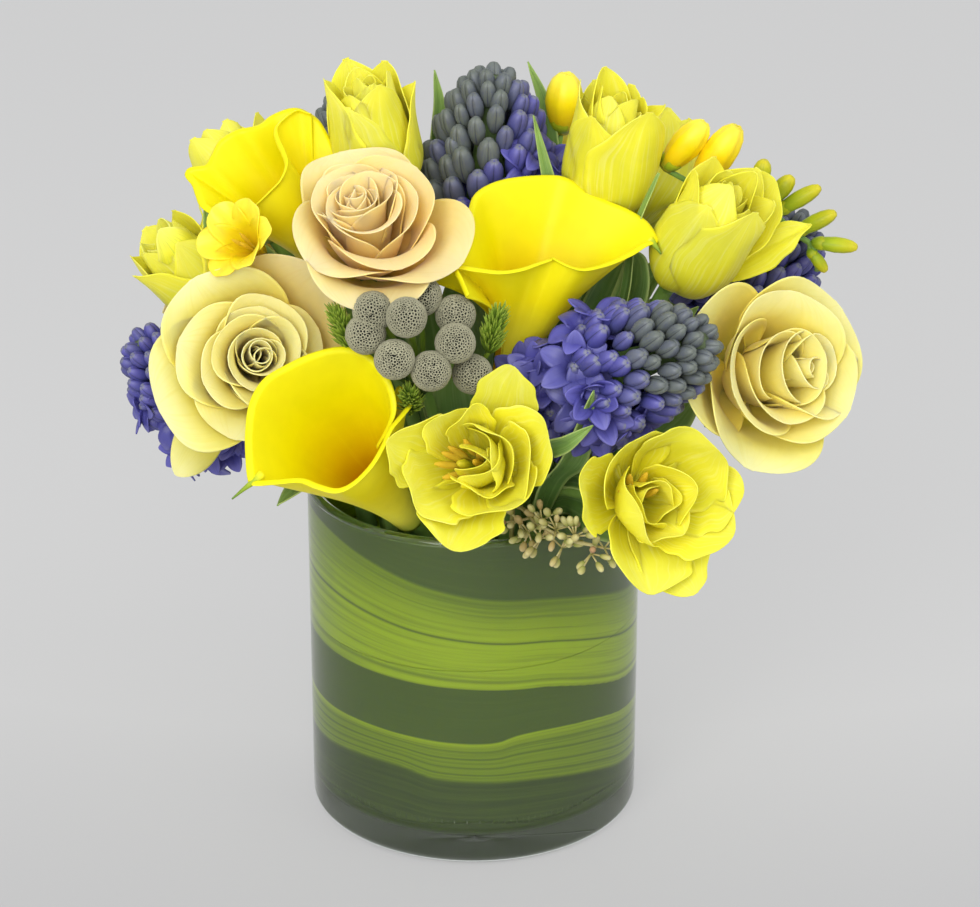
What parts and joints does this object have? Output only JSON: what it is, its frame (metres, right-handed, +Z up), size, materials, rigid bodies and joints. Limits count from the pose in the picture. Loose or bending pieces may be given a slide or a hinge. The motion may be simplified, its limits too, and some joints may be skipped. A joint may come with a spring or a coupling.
{
  "type": "calla lily bouquet in a glass vase",
  "caption": "Round spring bouquet of calla lilies with roses, tulips, hyacinths, freesias, brunia and seeded eucalyptus, held in a leaf-lined glass cylinder vase.",
  "frame": {"origin": "middle of the vase's flat underside", "axes": "+Z up, out of the vase's mouth; -Y towards the front of the bouquet, the side the picture shows; +X to the right seen from the front"},
  "size_m": [0.3278, 0.269, 0.3496],
  "materials": {
    "vase_glass": "clear blown glass, glossy",
    "liner_leaf": "fresh strap leaf, satin, seen through the glass",
    "stem": "fresh green stem, satin",
    "leaf": "fresh leaf, satin with a waxy bloom",
    "calla_spathe": "thick waxy spathe, satin",
    "calla_spadix": "powdery pollen",
    "rose_petal": "velvety petal, matte",
    "tulip_petal": "thin petal, satin",
    "hyacinth_floret": "fleshy waxy floret, satin",
    "freesia_petal": "thin petal and green bud, satin",
    "brunia": "grey woolly ball, matte",
    "eucalyptus_seed": "dry seed bud, matte"
  },
  "bodies": {
    "root": {"vase": "vase_glass", "liner_leaf_upper": "liner_leaf", "liner_leaf_lower": "liner_leaf", "calla_front_spathe": "calla_spathe", "calla_front_spadix": "calla_spadix", "calla_front_stem": "stem", "calla_centre_spathe": "calla_spathe", "calla_centre_spadix": "calla_spadix", "calla_centre_stem": "stem", "calla_left_spathe": "calla_spathe", "calla_left_spadix": "calla_spadix", "calla_left_stem": "stem", "calla_back_spathe": "calla_spathe", "calla_back_spadix": "calla_spadix", "calla_back_stem": "stem", "rose_upper_bloom": "rose_petal", "rose_upper_stem": "stem", "rose_left_bloom": "rose_petal", "rose_left_stem": "stem", "rose_right_bloom": "rose_petal", "rose_right_stem": "stem", "rose_back_bloom": "rose_petal", "rose_back_stem": "stem", "rose_back_left_bloom": "rose_petal", "rose_back_left_stem": "stem", "rose_back_right_bloom": "rose_petal", "rose_back_right_stem": "stem", "tulip_top_left_bloom": "tulip_petal", "tulip_top_left_stem": "stem", "tulip_top_right_bloom": "tulip_petal", "tulip_top_right_stem": "stem", "tulip_right_bloom": "tulip_petal", "tulip_right_stem": "stem", "tulip_left_bloom": "tulip_petal", "tulip_left_stem": "stem", "tulip_front_bloom": "tulip_petal", "tulip_front_stem": "stem", "tulip_front_right_bloom": "tulip_petal", "tulip_front_right_stem": "stem", "tulip_back_bloom": "tulip_petal", "tulip_back_stem": "stem", "tulip_back_left_bloom": "tulip_petal", "tulip_back_left_stem": "stem", "tulip_back_low_bloom": "tulip_petal", "tulip_back_low_stem": "stem", "hyacinth_top": "hyacinth_floret", "hyacinth_centre": "hyacinth_floret", "hyacinth_left": "hyacinth_floret", "hyacinth_right": "hyacinth_floret", "hyacinth_back": "hyacinth_floret", "freesia_left": "freesia_petal", "freesia_right": "freesia_petal", "freesia_top": "freesia_petal", "freesia_back": "freesia_petal", "leaf_front": "leaf", "leaf_left": "leaf", "leaf_right": "leaf", "leaf_back": "leaf", "brunia_sprig": "brunia", "eucalyptus_sprig": "eucalyptus_seed"}
  },
  "joints": []
}
